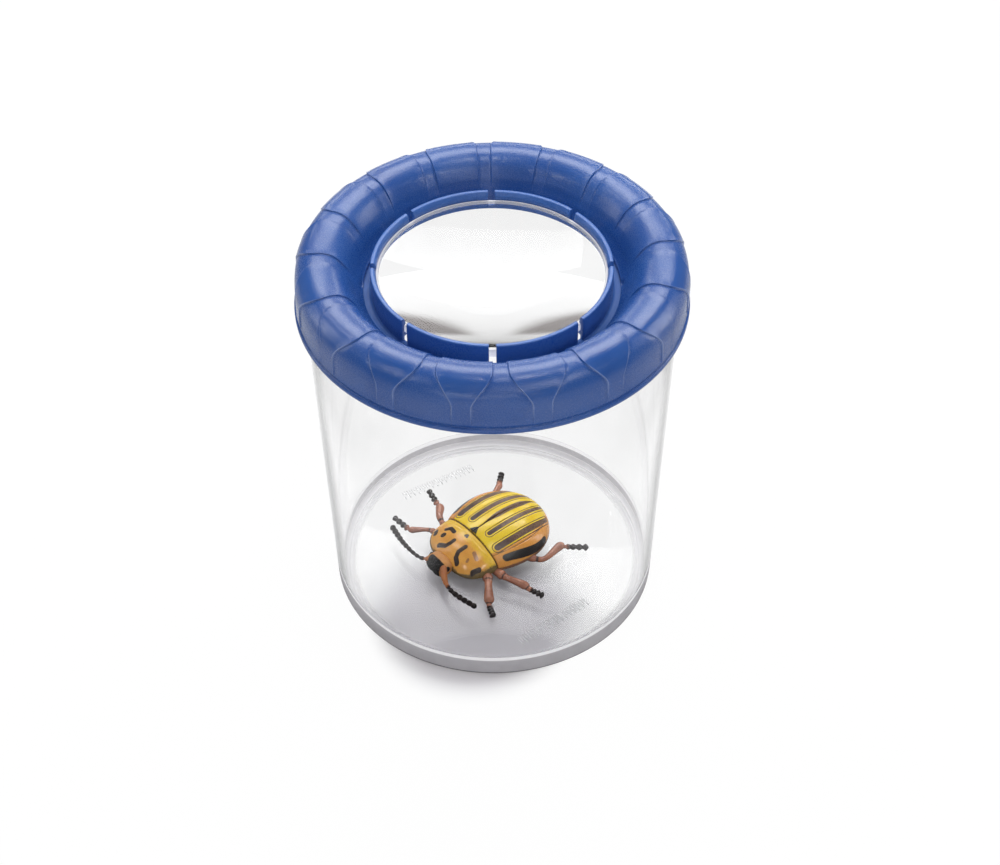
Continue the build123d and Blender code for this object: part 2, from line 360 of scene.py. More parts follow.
def painted(name, base, layers, roughness=(0.15, 0.24), grain=0.000012, gloss=0.4):
    """Hand-painted rubber: a base colour given as two shades that cloud into each other, then one coat of
    paint for each attribute, its edge broken by fine noise, over a faintly grained skin."""
    finish = Finish(name, Specular_IOR_Level=gloss)
    shade = finish.mix(finish.noise(260.0, 4.0), colour(*base[0]), colour(*base[1]))
    dull = finish.noise(500.0, 3.0, *roughness)
    for label, thin, thick in layers:
        coat = finish.mix(finish.noise(900.0, 3.0), colour(*thin), colour(*thick))
        ragged = finish.sum("ADD", finish.paint(label), finish.noise(1500.0, 2.0, -0.16, 0.16))
        edge = finish.ramp(ragged, 0.3, 0.7)
        shade = finish.mix(edge, shade, coat)
        dull = finish.sum("MULTIPLY_ADD", edge, 0.15 if max(thin) < 120 else 0.0, dull)
    finish.link(shade, finish.shader.inputs["Base Color"])
    finish.link(dull, finish.shader.inputs["Roughness"])
    finish.bump(finish.noise(1400.0, 3.0), grain)
    return finish.material


angle = np.arange(120) / 120 * 2 * np.pi
level = np.concatenate([np.zeros((1, 2)), np.stack([np.linspace(0.04, 0.9, 40), np.zeros(40)], 1),
                        [[0.955, 0.06], [0.985, 0.18], [1.0, 0.4], [1.0, 0.8], [0.99, 1.0], [0.0, 1.0]]])
forward = belly_middle + belly_half_length * level[:, :1] * np.cos(angle)
left = belly_half_width * level[:, :1] * np.sin(angle)
crease = np.abs(np.sin((forward - belly_middle) / belly_half_length * belly_creases * np.pi / 2)) ** 0.35
lift = 0.45 * (1 - crease) * (level[:, 1:] < 0.1) * (level[:, :1] < 0.9)
up = belly_bottom + (rim_height - 0.05 - belly_bottom) * level[:, 1:] + lift
belly = mesh_piece("beetle_underside", "beetle", "beetle_brown", ["beetle_belly"],
                   [around(on_beetle(forward, left, up))], crease=[around(np.clip(1 - crease, 0, 1))])
belly.data.materials.append(painted("belly_paint", [(120, 84, 62), (98, 66, 52)],
                                    [("crease", (60, 40, 34), (44, 30, 28))]))

# Beetle's wing cases
# A pair of domed shells moulded as the beetle's back, each with a rolled lower rim. Engraved outlines run
# round dark stripes that are brushed over yellow paint, and a dark plate fills the corner behind the neck.
# Painted shade darkens the outlines, a crease low on each flank, the front edge under the neck shield, the
# rolled rim and the underside, and a painted sheen lightens the stripes towards the tail.
case_middle = -5.3
case_half_width = 18.3
case_rise = 9.2
case_front_reach = 23.8
case_rear_reach = 19.1
case_front = 7.5
stripes = [  # turn from the seam in degrees, half width, front end and rear end
    (16.0, 0.92, 3.2, -22.4),
    (38.5, 1.25, 4.2, -20.0),
    (63.0, 1.8, 3.4, -14.0),
]
outline_gap = 0.66
outline_depth = 0.24
suture_depth = 0.4
plate_front = 7.2
plate_tip = 4.1
plate_half_width = 1.9


def bell(value, middle, width):
    """1 at the middle, falling off on both sides as the exponential of minus the squared share of the
    width."""
    return np.exp(-(((value - middle) / width) ** 2))


def wing_case(side):
    """One wing case: the back's half width and rise both follow the cosine of a station angle, which
    reaches a right angle at the tail, and each section is a quarter ellipse from the seam to the rim,
    rolled under there and closed along the belly. Returns its grid and how much of each paint it takes."""
    first = np.arcsin((case_front - case_middle) / case_front_reach)
    station = np.concatenate([np.linspace(first, 0, 130)[:-1], -np.linspace(0, np.pi / 2, 210)])[:, None]
    reach = np.where(station > 0, case_front_reach, case_rear_reach)
    forward = case_middle + reach * np.sin(station)
    share = np.maximum(np.cos(station), 1e-4)
    turn = np.radians(np.concatenate([[0.0, 0.6], np.linspace(1.2, 90, 190)]))
    girth = np.hypot(case_half_width * np.cos(turn), case_rise * np.sin(turn))
    left = case_half_width * share * np.sin(turn)
    dark, groove, black = 0 * left, 0 * left, 0 * left
    for middle, half, front, rear in stripes:
        centre = np.arcsin(np.clip(np.sin(np.radians(middle)) * share**-0.55, 0, 1))
        centre = np.radians(middle + 12 * smooth(-forward, -4, 13)) if middle > 60 else centre
        taper = half * (0.72 + 0.28 * smooth(forward, rear - 2, rear + 9)) * (0.97 if side > 0 else 1.2)
        taper = taper * (1 - 0.2 * smooth(forward, -3, 4)) if middle > 60 else taper
        beyond = np.maximum(np.maximum(forward - front, rear - forward), 0)
        aside = np.hypot((turn - centre) * girth * share, beyond)
        stroke = 1 - smooth(aside - taper, -0.14, 0.14)
        if middle > 60:
            black = np.maximum(black, stroke)
        else:
            dark = np.maximum(dark, stroke)
            groove = np.maximum(groove, bell(aside - taper, outline_gap, 0.19))
    fold = bell((turn - np.radians(51)) * girth * share, 0.0, 0.3) * smooth(forward, -21, -16)
    seam = 0.25 + 1.0 * smooth(-forward, -3, 6) * (1 - smooth(-forward, 15, 22))
    dark = np.maximum(dark, 1 - smooth(left, seam - 0.15, seam + 0.15))
    plate = plate_half_width * np.clip((forward - plate_tip) / (plate_front - plate_tip), 0, 1)
    wedge = (1 - smooth(left - plate, -0.12, 0.12)) * smooth(forward, plate_tip, plate_tip + 0.3) * (
        1 - smooth(forward, plate_front - 0.15, plate_front + 0.15))
    black = np.maximum(black, wedge)
    edge = np.sqrt(1 - np.clip(1 - (case_front - forward) / 0.9, 0, 1) ** 2)
    sunk = outline_depth * groove + 0.22 * fold + 0.05 * dark + suture_depth * bell(left, 0.0, 0.35)
    sunk = sunk * smooth(share, 0.1, 0.4) - 0.2 * wedge + 0.55 * (1 - edge)
    slope = np.arctan2(case_rise * np.sin(turn), case_half_width * np.cos(turn))
    left = left - sunk * np.sin(slope) * 0.9
    up = rim_height + case_rise * share * np.cos(turn) - sunk * np.cos(slope)
    roll = np.array([[-0.1, -0.28], [-0.45, -0.5], [-0.95, -0.52], [-1.5, -0.25], [-2.0, 0.25]])
    tuck = smooth(share, 0.0, 0.25)
    under = np.concatenate([left[:, -1:] + roll[:, 0] * tuck, 0.05 + 0 * share], axis=1)
    under_up = np.concatenate([rim_height + roll[:, 1] * tuck, rim_height + 0.25 * tuck], axis=1)
    left = np.concatenate([np.maximum(left, 0.04 * share), np.maximum(under, 0.04 * share)], axis=1)
    up = np.concatenate([up, under_up], axis=1)
    grid = on_beetle(forward + 0 * left, side * left, up)
    middle = grid[:1].mean(axis=1, keepdims=True) + 0 * grid[:1]
    grid = around(np.concatenate([middle, grid]))
    # Painted shade: dark lines in the engraved outlines, in the flank's crease and along the front edge where
    # the case tucks under the neck shield.
    lip = 0.68 * (1 - smooth(case_front - forward, 0.1, 0.55)) + 0 * dark
    line = np.maximum(0.95 * groove + 0.6 * fold, lip)
    # Lighter brown on the stripes towards the tail: thinner paint there, and a painted sheen.
    thin_paint_and_sheen = 0.52 * dark * smooth(-forward, -4, 5)
    below = np.ones(len(roll) + 1)
    # Painted shade: grey-brown on the rolled rim and on the underside.
    rim = np.concatenate([smooth(turn, *np.radians([78, 88])), below]) + 0 * share
    flank = np.concatenate([smooth(turn, *np.radians([41, 51])), below]) + 0 * share

    def whole(coat):
        """A coat of paint carried on over the underside, the front face and the closing column."""
        coat = np.pad(coat, ((1, 0), (0, left.shape[1] - coat.shape[1])), mode="edge")
        return np.concatenate([coat, coat[:, :1]], axis=1)

    coats = {"flank": flank, "rim": rim, "line": line, "stripe": dark, "bar": black, "thin_paint_and_sheen": thin_paint_and_sheen}
    return grid, {label: [whole(coat)] for label, coat in coats.items()}


case_paint = painted("wing_case_paint", [(236, 206, 60), (228, 190, 40)], [
    ("flank", (222, 156, 74), (208, 140, 62)),
    ("rim", (140, 104, 80), (108, 80, 66)),
    ("line", (104, 74, 34), (84, 58, 30)),
    ("stripe", (76, 54, 46), (52, 36, 32)),
    ("bar", (14, 9, 8), (8, 5, 5)),
    ("thin_paint_and_sheen", (136, 104, 74), (104, 78, 60)),
])
for side, name in ((1, "left"), (-1, "right")):
    grid, coats = wing_case(side)
    case = mesh_piece(f"beetle_{name}_case", "beetle", "beetle_yellow", [f"beetle_{name}_wing_case"], [grid],
                      **coats)
    case.data.materials.append(case_paint)

# Beetle's neck shield
# The domed plate behind the head, moulded with a raised margin against the wing cases. It is painted ochre
# and spotted by hand in dark brown, and painted olive shade darkens its lower sides and front edge.
shield_rear = 7.7
shield_half_width = 15.2
shield_rise = 7.5
shield_reach = 13.2
shield_width_power = 3.0
shield_rise_power = 1.9
spot_strokes = [  # half width, then points forwards and to the left
    (0.82, [(12.9, -8.6), (11.6, -7.4), (12.0, -5.0)]),
    (0.95, [(15.4, -7.4), (15.1, -7.3)]),
    (0.8, [(18.7, -5.6), (17.6, -2.9), (16.1, -2.2), (14.4, -1.9)]),
    (0.55, [(10.3, -0.3), (9.6, 0.0), (10.3, 0.5)]),
    (0.85, [(13.3, 3.5), (16.2, 3.0), (18.0, 3.8), (18.9, 5.6)]),
    (0.72, [(17.0, 12.0), (14.3, 13.0)]),
    (0.85, [(16.3, -11.0), (15.2, -11.9)]),
]
faint_strokes = [(0.75, [(12.5, 7.6), (13.1, 9.7)]), (0.5, [(15.6, 7.9), (16.2, 8.1)])]


def stroke_share(forward, left, strokes):
    """How far each point lies under any of the brush strokes: 1 within a stroke's half width of its line, 0
    outside it, from the distance to each of the line's runs."""
    cover = 0 * left
    for half, line in strokes:
        for (a, b), (c, d) in zip(line[:-1], line[1:]):
            run = np.array([c - a, d - b])
            share = np.clip(((forward - a) * run[0] + (left - b) * run[1]) / (run @ run), 0, 1)
            aside = np.hypot(forward - a - share * run[0], left - b - share * run[1])
            cover = np.maximum(cover, 1 - smooth(aside - half, -0.16, 0.16))
    return cover


station = np.concatenate([np.linspace(0, 0.08, 24)[:-1], np.linspace(0.08, 0.97, 150)[:-1],
                          1 - 0.03 * np.linspace(1, 0, 30) ** 2])[:, None]
forward = shield_rear + shield_reach * station
width = shield_half_width * np.maximum(1 - station**shield_width_power, 0) ** (1 / shield_width_power)
rise = shield_rise * np.maximum(1 - station**shield_rise_power, 0) ** (1 / shield_rise_power)
turn = np.radians(np.linspace(-90, 90, 260))
left = width * np.sin(turn)
margin = bell(forward - shield_rear, 1.5, 0.32) + 0 * left
edge = np.sqrt(1 - np.clip(1 - (forward - shield_rear) / 0.8, 0, 1) ** 2)
brim = smooth(np.abs(turn), np.radians(80), np.radians(86))
sunk = 0.13 * margin + 0.5 * (1 - edge) - 0.12 * brim
up = rim_height + rise * np.cos(turn) - sunk * smooth(rise, 0.3, 1.5) * np.cos(turn)
roll = np.array([[0.985, -0.35], [0.94, -0.55], [0.86, -0.45], [0.0, 0.1],
                 [-0.86, -0.45], [-0.94, -0.55], [-0.985, -0.35]])
tuck = smooth(width, 0.0, 6.0)
left_all = np.concatenate([left, width * roll[:, 0]], axis=1)
up_all = np.concatenate([up, rim_height + roll[:, 1] * tuck], axis=1)
grid = on_beetle(forward + 0 * left_all, left_all, up_all)
grid = np.concatenate([grid[:1].mean(axis=1, keepdims=True) + 0 * grid[:1], grid])
# The rim coat is painted shade: olive brown on the lower sides and along the front edge.
coats = {
    "margin": 0.75 * (1 - smooth(forward, 9.0, 14.5)) + 0 * left,
    "rim": np.maximum(smooth(np.abs(turn), *np.radians([60, 80])) + 0 * left, smooth(station, 0.9, 1.0)),
    "faint": stroke_share(forward, left, faint_strokes),
    "spot": stroke_share(forward, left, spot_strokes),
}
beyond = ((1, 0), (0, len(roll)))
coats = {label: [around(np.pad(coat, beyond, mode="edge"))] for label, coat in coats.items()}
shield = mesh_piece("beetle_shield", "beetle", "beetle_orange", ["beetle_neck_shield"], [around(grid)],
                    **coats)
shield.data.materials.append(painted("neck_shield_paint", [(226, 166, 78), (212, 148, 66)], [
    ("margin", (232, 190, 62), (220, 176, 52)),
    ("rim", (124, 104, 62), (92, 78, 52)),
    ("faint", (164, 116, 74), (140, 98, 66)),
    ("spot", (44, 25, 14), (28, 16, 11)),
]))

# Beetle's head
# A blunt block let in under the neck shield: black across the face, ochre at the cheeks, with two round bead
# eyes and a pair of jaws that meet below.
head_middle = np.array([22.7, 0.0, 8.0])
head_half = np.array([3.6, 5.2, 3.0])
eye_places = [(22.7, 4.7, 9.0), (22.7, -4.7, 9.0)]
eye_radius = 1.1


def ball(middle, radii, power, rows, columns):
    """A rounded block: the directions of a sphere, pushed out until the sum of their shares of the three half
    sizes, each raised to a power, is one. Returns its points and the directions."""
    fall = np.linspace(0, np.pi, rows)[:, None]
    turn = np.arange(columns) / columns * 2 * np.pi
    way = np.stack([np.sin(fall) * np.cos(turn), np.sin(fall) * np.sin(turn), np.cos(fall) + 0 * turn],
                   axis=-1)
    size = (np.abs(way) ** power).sum(axis=-1, keepdims=True) ** (-1 / power)
    way = way * size
    return np.asarray(middle) + way * np.asarray(radii), way


block, way = ball(head_middle, head_half, 2.8, 110, 160)
ahead, aside, above = np.moveaxis(way, -1, 0)
brow = 0.35 * bell(ahead, 0.75, 0.16) * smooth(above, 0.2, 0.6)
pit = 0.28 * np.sin(aside * 23) * np.sin(above * 19 + ahead * 11) * smooth(ahead, 0.3, 0.7)
jaw = 0.5 * bell(aside, 0.0, 0.09) * smooth(ahead, 0.6, 0.9) * smooth(-above, 0.1, 0.6)
block = block - way * (brow + 1.1 * pit + jaw)[..., None]
face = smooth(ahead, -0.05, 0.25) * (1 - smooth(np.abs(aside), 0.62, 0.82))
face = np.maximum(face, smooth(-above, 0.25, 0.5))
head_grids = [around(on_beetle(*np.moveaxis(block, -1, 0)))]
head_paint = [around(face)]
for place in eye_places:
    eye, _ = ball(place, (eye_radius, 0.8, eye_radius), 2.0, 24, 32)
    head_grids.append(around(on_beetle(*np.moveaxis(eye, -1, 0))))
    head_paint.append(np.ones((24, 33)))
head = mesh_piece("beetle_face", "beetle", "beetle_black", ["beetle_head"], head_grids, face=head_paint)
head.data.materials.append(painted("head_paint", [(206, 146, 84), (176, 124, 74)],
                                   [("face", (9, 6, 7), (4, 3, 4))], (0.24, 0.34), gloss=0.12))

# Beetle's feelers
# Two beaded horns pushed into the head above the jaws, each cast as a string of eleven swellings and dipped
# in black paint from the tip to near the root.
feeler_routes = {  # forwards, to the side, up, radius
    "left": [(23.6, 3.6, 9.3, 1.2), (26.2, 7.2, 9.6, 1.1), (28.2, 11.8, 9.3, 0.72), (28.3, 17.5, 9.1, 0.9),
             (26.2, 26.4, 8.9, 1.0)],
    "right": [(25.0, 2.6, 8.8, 0.8), (27.5, 6.0, 8.9, 0.65), (28.2, 12.0, 9.2, 0.75), (27.7, 18.0, 9.2, 0.9),
              (26.4, 25.0, 9.0, 0.95)],
}
feeler_beads = 11
limb_shift = (-0.5, -0.6)  # forwards and to the left


def curve_through(route, count):
    """A smooth line through a short route: on each run the ends pull along the line joining their
    neighbours, as in a cubic with those slopes. Returns its points, each point's share of the whole
    length, and its run."""
    ends = np.concatenate([2 * route[:1] - route[1:2], route, 2 * route[-1:] - route[-2:-1]])
    place = np.linspace(0, len(route) - 1 - 1e-9, count)
    run = place.astype(int)
    t = (place - run)[:, None]
    a, b, c, d = (ends[run + step] for step in range(4))
    points = 0.5 * (2 * b + (c - a) * t + (2 * a - 5 * b + 4 * c - d) * t**2 + (3 * b - a - 3 * c + d) * t**3)
    length = np.concatenate([[0], np.cumsum(np.linalg.norm(np.diff(points[:, :3], axis=0), axis=1))])
    return points, length / length[-1], place


def limb(path, radius, knobs, columns=28):
    """A rod of changing radius along a path: each section is a circle square to the path, set out sideways
    and upwards, made lumpy where it has knobs, and the two ends close to points."""
    ahead = np.gradient(path, axis=0)
    ahead /= np.linalg.norm(ahead, axis=1, keepdims=True)
    aside = np.cross(np.array([0.0, 0.0, 1.0]), ahead)
    aside /= np.linalg.norm(aside, axis=1, keepdims=True)
    over = np.cross(ahead, aside)
    turn = np.arange(columns) / columns * 2 * np.pi
    ring = aside[:, None] * np.cos(turn)[:, None] + over[:, None] * np.sin(turn)[:, None]
    lumps = 1 + 0.1 * knobs[:, None] * np.sin(2 * turn + 2.2 * np.cumsum(knobs)[:, None] / 6)
    return path[:, None] + ring * (radius[:, None] * lumps)[..., None]


def on_side(path, side):
    """A route's points on the given side of the beetle, all moved by the limbs' shift."""
    return on_beetle(path[:, 0] + limb_shift[0], side * path[:, 1] + limb_shift[1], path[:, 2])


def rounded_ends(share, length, radius):
    """A factor that closes a rod's ends as half balls of its radius."""
    near = np.minimum(share, 1 - share) * length / radius
    return np.sqrt(np.clip(1 - (1 - np.clip(near, 0, 1)) ** 2, 0, 1))


feeler_paint = painted("feeler_paint", [(176, 112, 66), (150, 92, 58)],
                       [("dark", (34, 23, 23), (16, 11, 12))], (0.3, 0.42), gloss=0.12)
for side, name, root in ((1, "left", 0.42), (-1, "right", 0.1)):
    path, share, _ = curve_through(np.array(feeler_routes[name]), 260)
    beads = np.abs(np.sin(np.pi * feeler_beads * share)) ** 0.9
    beaded = smooth(share, root - 0.1, root)
    radius = path[:, 3] * (1.15 - 0.58 * (1 - beads) * beaded) * rounded_ends(share, 26.0, 1.0)
    grid = limb(on_side(path, side), radius, beaded)
    dark = smooth(share, root - 0.06, root + 0.06)[:, None] + np.zeros(grid.shape[1])
    feeler = mesh_piece(f"beetle_{name}_horn", "beetle", "beetle_black", [f"beetle_{name}_feeler"],
                        [around(grid)], dark=[around(dark)])
    feeler.data.materials.append(feeler_paint)

# Beetle's legs
# Six bent legs glued into the belly plate. Each swells at the thigh, narrows before the knee, thickens down
# the shin, and ends in a dark foot of four beads. The joints are painted dark, and painted shade darkens each
# leg's underside and runs in six streaks along it above the foot.
leg_routes = {  # root, hip, shin's top, shin's end, ankle and toe: forwards, to the side, up, radius
    "left_front": [(12.0, 10.5, 5.7, 1.2), (13.1, 16.2, 6.7, 1.7), (14.9, 18.8, 6.6, 1.35),
                   (19.0, 24.4, 6.2, 1.75), (20.4, 26.4, 5.5, 0.8), (22.4, 31.2, 5.2, 1.15)],
    "left_middle": [(8.8, 11.0, 5.7, 1.2), (8.2, 18.2, 6.7, 1.6), (7.4, 21.0, 6.7, 1.15),
                    (4.7, 26.9, 6.2, 1.5), (4.0, 29.2, 5.5, 0.95), (2.0, 34.8, 5.2, 1.1)],
    "left_rear": [(-2.0, 12.0, 5.7, 1.2), (-5.9, 18.6, 6.5, 1.25), (-9.3, 21.7, 6.5, 1.0),
                  (-17.6, 20.4, 6.4, 1.5), (-19.9, 21.4, 5.5, 0.65), (-26.4, 26.8, 5.2, 1.1)],
    "right_front": [(13.2, 10.0, 5.7, 1.1), (14.5, 15.0, 6.6, 1.05), (16.2, 17.6, 6.5, 0.8),
                    (20.0, 20.8, 6.2, 1.15), (20.5, 22.8, 5.5, 0.6), (21.1, 31.4, 5.2, 0.9)],
    "right_middle": [(9.7, 10.5, 5.7, 1.1), (9.4, 15.5, 6.6, 1.1), (8.0, 19.6, 6.8, 1.3),
                     (5.2, 23.0, 6.6, 1.55), (4.2, 26.2, 5.5, 0.75), (2.2, 34.4, 5.2, 0.9)],
    "right_rear": [(-2.5, 10.5, 5.6, 1.1), (-6.0, 15.0, 5.6, 1.1), (-13.0, 15.6, 5.6, 0.9),
                   (-19.6, 18.2, 6.2, 1.2), (-21.0, 19.8, 5.5, 0.8), (-25.6, 24.0, 5.2, 1.05)],
}
foot_beads = 4
leg_paint = painted("leg_paint", [(184, 124, 96), (142, 92, 74)], [
    ("joint", (78, 49, 40), (54, 34, 30)),
    ("dark", (36, 25, 25), (14, 10, 11)),
], (0.2, 0.3))
for name, route in leg_routes.items():
    path, share, run = curve_through(np.array(route), 300)
    side = 1 if name.startswith("left") else -1
    hips = bell(run, 1, 0.16) - 0.8 * bell(run, 1.35, 0.13)
    shin = bell(run, 3, 0.2)
    beads = np.abs(np.sin(np.pi * foot_beads * np.clip(run - 4, 0, 1))) ** 0.9
    radius = path[:, 3] * (1 + 0.14 * hips + 0.08 * shin)
    radius = np.where(run > 4, np.maximum(radius, 0.98) * (0.55 + 0.65 * beads), radius)
    radius = np.convolve(np.pad(radius, 2, mode="edge"), np.ones(5) / 5, "valid")
    radius = radius * rounded_ends(share, 26.0, 1.0)
    grid = limb(on_side(path, side), radius, smooth(run, 3.9, 4.1))
    dark = smooth(run, 3.7, 4.5)
    joint = (bell(run, 1.4, 0.12) + bell(run, 3.6, 0.16))[:, None]
    turn = np.arange(grid.shape[1]) / grid.shape[1] * 2 * np.pi
    # Painted shade: darker along the underside and in six streaks round the leg above the foot, in one coat
    # with the dark joints.
    streaks = 0.55 * smooth(np.cos(6 * turn), 0.5, 1.0) * (run < 3.8)[:, None]
    painted_leg_shade = np.maximum(smooth(-np.sin(turn), -0.1, 0.7), streaks)
    leg = mesh_piece(f"beetle_{name}_limb", "beetle", "beetle_orange", [f"beetle_{name}_leg"], [around(grid)],
                     dark=[around(dark[:, None] + 0 * turn)], joint=[around(np.maximum(joint, painted_leg_shade))])
    leg.data.materials.append(leg_paint)

# Lid ring
# A hollow doughnut moulded in satin blue plastic, whose skirt slips over the jar's rim. Its outside is laid
# out as sixteen raised petals with shallow valleys between them, and its inner edge ends in a thin bright
# lip.
skirt_radius = 65.4
skirt_inner_radius = 63.35
skirt_bottom = 125.5
bead_radius = 65.8
bead_height = 1.5
lid_outside = np.array([
    (65.4, 136.0), (65.0, 139.2), (63.6, 142.0), (60.7, 144.4), (57.0, 145.2), (53.4, 144.5), (50.4, 142.4),
    (48.2, 139.3), (46.6, 136.2), (45.0, 133.5), (43.3, 131.5)])
lip_bottom = 129.9
lip_weld_radius = 49.0
stop_height = 136.7
stop_radius = 60.4
petals = 16
first_valley = np.radians(-87.5)
valley_depth = 0.4
crease_width = np.radians(0.3)
crease_depth = 0.15  # as a share of the valley's depth
edge_rise = 0.2
spread_from_to = (0.46, 0.74)  # shares of the way from the lip to the skirt's bottom
valley_half_top = np.radians(2.5)
valley_half_skirt = np.radians(8.45)
step_width = np.radians(0.28)
notch_angles = (0.0, np.pi)
notch_width = np.radians(1.5)


def spline(points, count):
    """A smooth profile through points, evenly spaced along its length."""
    line, share, _ = curve_through(points, 60 * len(points))
    even = np.linspace(0, 1, count)
    return np.stack([np.interp(even, share, line[:, 0]), np.interp(even, share, line[:, 1])], axis=1)


def petal_columns(half):
    """Angles across one valley and one petal, from the valley's middle to the next valley's middle. The
    valley's floor, a narrow crease, the step, the petal's raised edge and its top each have a fixed number
    of columns, so that the columns follow the step as the valley widens. Returns the angles, the height of
    each column, which is 0 in the valley and 1 on the petal, and how far it lies on the petal's edge."""
    pitch = 2 * np.pi / petals
    parts = [(0.0, 3), (crease_width, 4), (step_width, 4), (crease_width, 3)]
    share = [np.linspace(0, 1, count + 1)[:-1] for _, count in parts]
    foot = half - step_width / 2
    rise = np.concatenate([(foot - crease_width) * share[0], foot - crease_width * (1 - share[1]),
                           foot + step_width * share[2], foot + step_width + crease_width * share[3]], axis=1)
    top = foot + step_width + crease_width
    middle = top + (pitch - 2 * top) * np.linspace(0, 1, 7)
    angles = np.concatenate([rise, middle, pitch - rise[:, :0:-1]], axis=1)
    dip = -crease_depth * np.sin(np.pi * share[1]) ** 2
    edge = edge_rise * np.cos(np.pi / 2 * share[3]) ** 2
    climb = np.concatenate([0 * share[0], dip, (1 + edge_rise) * smooth(share[2], 0, 1), 1 + edge])
    heights = np.concatenate([climb, np.ones(7), climb[:0:-1]])
    edge = np.concatenate([0 * share[0], 0.3 * share[1], 0.3 + 0.7 * share[2], 1 - share[3]])
    return angles, heights, np.concatenate([edge, np.zeros(7), edge[:0:-1]])


def section_closed(rows):
    """The rows with the first one again at the end, so that the section closes."""
    return np.concatenate([rows, rows[:1]])


outer_profile = np.concatenate([
    divided(rounded([(skirt_inner_radius + 0.6, skirt_bottom, 0.0), (bead_radius, skirt_bottom, 0.45),
                     (bead_radius, skirt_bottom + bead_height, 0.5),
                     (skirt_radius - 0.5, skirt_bottom + bead_height + 0.4, 0.3),
                     (skirt_radius, skirt_bottom + 3.0, 0.4), (skirt_radius, 135.9, 0.0)], 5), 0.9),
    spline(lid_outside, 60),
])
inner_profile = np.concatenate([
    rounded([(43.25, 131.45, 0.0), (42.75, 131.2, 0.3), (42.7, lip_bottom, 0.4),
             (lip_weld_radius, lip_bottom, 0.3), (lip_weld_radius + 0.3, 132.0, 0.0)]),
    spline(np.array([(49.6, 134.0), (52.4, 140.0), (57.0, 142.8), (60.3, 141.9)]), 16),
    rounded([(stop_radius, 141.0, 0.0), (stop_radius, stop_height, 0.4),
             (skirt_inner_radius, stop_height, 0.4), (skirt_inner_radius, skirt_bottom, 0.5),
             (skirt_inner_radius + 0.6, skirt_bottom, 0.0)]),
])
profile = np.concatenate([outer_profile, inner_profile])
ahead = np.gradient(outer_profile, axis=0)
ahead /= np.hypot(*ahead.T)[:, None]
outward = np.stack([ahead[:, 1], -ahead[:, 0]], axis=1)
outward = np.concatenate([outward, np.zeros_like(inner_profile)])
radius, height = profile[:, :1], profile[:, 1:]
run = np.concatenate([[0], np.cumsum(np.hypot(*np.diff(outer_profile, axis=0).T))])
along = np.concatenate([1 - run / run[-1], np.zeros(len(inner_profile))])[:, None]
half = valley_half_top + (valley_half_skirt - valley_half_top) * smooth(along, *spread_from_to)
angles, heights, edges = petal_columns(half)
depth = valley_depth * smooth(height, skirt_bottom + 2.0, skirt_bottom + 4.5) * smooth(radius, 46.0, 49.5)
depth = depth * (1 - 0.35 * smooth(along, 0.62, 0.8))
depth[len(outer_profile):] = 0
sink = np.maximum(np.tile(depth * (1 - heights), petals), height - lid_outside[:, 1].max())
turn = np.concatenate([first_valley + petal * 2 * np.pi / petals + angles for petal in range(petals)], axis=1)
from_notch = [np.angle(np.exp(1j * (turn - place))) / notch_width for place in notch_angles]
notch = sum(np.exp(-(away**4)) for away in from_notch)
lip = bell(radius, 43.2, 0.8) * bell(height, 131.4, 0.9)
ring_radius = radius - sink * outward[:, :1]
ring_height = height - sink * outward[:, 1:] - 0.9 * notch * lip
grid = around(np.stack([ring_radius * np.cos(turn), ring_radius * np.sin(turn), ring_height], axis=-1))
grid = section_closed(grid)


def satin_blue(name, deep, pale, smoothest, roughest):
    """Satin blue plastic: two near shades that drift into each other, a fine spark-eroded grain that breaks
    up the highlights, smoother patches that shine more, and a painted highlight of light blue where it is
    marked."""
    finish = Finish(name, Specular_IOR_Level=0.5, Coat_Weight=0.1, Coat_Roughness=0.2)
    shade = finish.mix(finish.noise(45.0, 3.0), colour(*deep), colour(*pale))
    # Painted highlight: light blue where marked, along the petals' edges.
    shade = finish.mix(finish.paint("rubbed"), shade, colour(170, 184, 220))
    finish.link(shade, finish.shader.inputs["Base Color"])
    patch = finish.noise(60.0, 4.0, smoothest, roughest)
    speck = finish.noise(3200.0, 2.0, -0.08, 0.08)
    dull = finish.sum("MULTIPLY_ADD", finish.paint("polish"), -0.1, speck)
    dull = finish.sum("MULTIPLY_ADD", finish.paint("matt"), 0.4, dull)
    finish.link(finish.sum("ADD", patch, dull), finish.shader.inputs["Roughness"])
    finish.bump(finish.noise(2600.0, 2.0), 0.000035)
    return finish.material


# Painted highlight along the petals' edges, on the shoulder and the skirt's upper part.
rubbed = 0.34 * smooth(along, 0.5, 0.6) * (1 - smooth(along, 0.7, 0.9)) * (depth > 0) * edges
polish = smooth(along, 0.44, 0.52) * (1 - smooth(along, 0.6, 0.7)) * (heights >= 1)
rubbed, polish = (section_closed(around(np.tile(coat, petals))) for coat in (rubbed, polish))
lid_ring = mesh_piece("lid_doughnut", "lid", "blue_lid", ["lid_ring"], [grid],
                      rubbed=[rubbed], polish=[polish])
lid_ring.data.materials.append(satin_blue("satin_blue_lid", (33, 72, 140), (39, 81, 149), 0.22, 0.3))

# Lens carrier
# A blue collar of eight spring fingers on a flange, moulded in one and welded under the ring's lip. Each
# finger has a hook at its top that snaps over the lens, and air passes through the slots between them.
flange_radius = 48.6
flange_bottom = 127.9
collar_radius = 40.2
collar_inner_radius = 38.8
collar_top = 139.6
seat_radius = 37.6
seat_top = 133.4
seat_bottom = 132.2
hook_radius = 38.2
hook_bottom = 136.75
hook_top = 138.4
fingers = 8
slot_width = 2.4
slot_bottom = 130.6
finger_columns = 40

